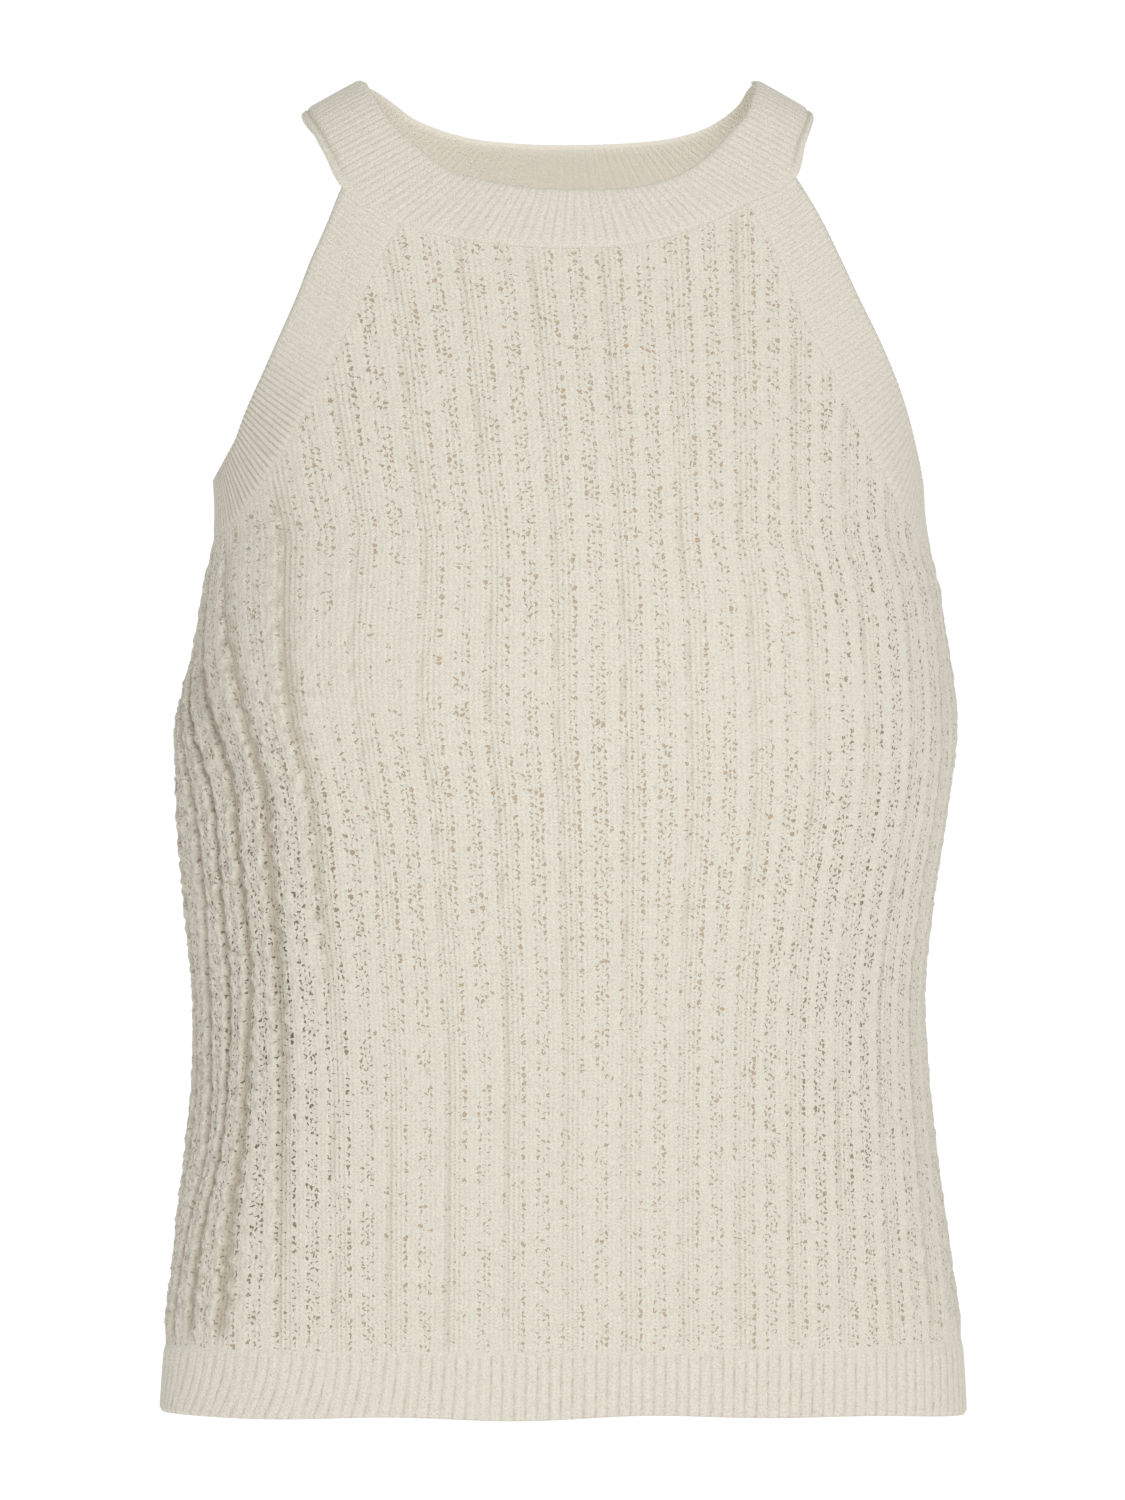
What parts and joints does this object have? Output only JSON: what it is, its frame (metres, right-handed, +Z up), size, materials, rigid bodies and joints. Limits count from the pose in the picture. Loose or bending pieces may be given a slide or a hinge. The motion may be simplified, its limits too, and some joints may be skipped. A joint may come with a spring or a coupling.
{
  "type": "sleeveless knitted halter-neck top",
  "caption": "Sleeveless halter-neck knitted top in an open cable stitch, with a ribbed neckband, armhole bands and hem, worn-shaped and hollow.",
  "frame": {"origin": "midway between the crests of the two shoulder straps, where a wearer's shoulders carry the top", "axes": "+Z up along the body, -Y out of the front, +X to the right as the front is seen"},
  "size_m": [0.3387, 0.1991, 0.5582],
  "materials": {
    "body_knit": "matte marled cotton-mix yarn in an open cable stitch",
    "rib_knit": "matte marled cotton-mix yarn in a fine rib"
  },
  "bodies": {
    "root": {"front_panel": "body_knit", "back_panel": "body_knit", "hem_rib_front": "rib_knit", "hem_rib_back": "rib_knit", "neckband_front": "rib_knit", "neckband_back": "rib_knit", "armhole_band_left": "rib_knit", "armhole_band_right": "rib_knit"}
  },
  "joints": []
}
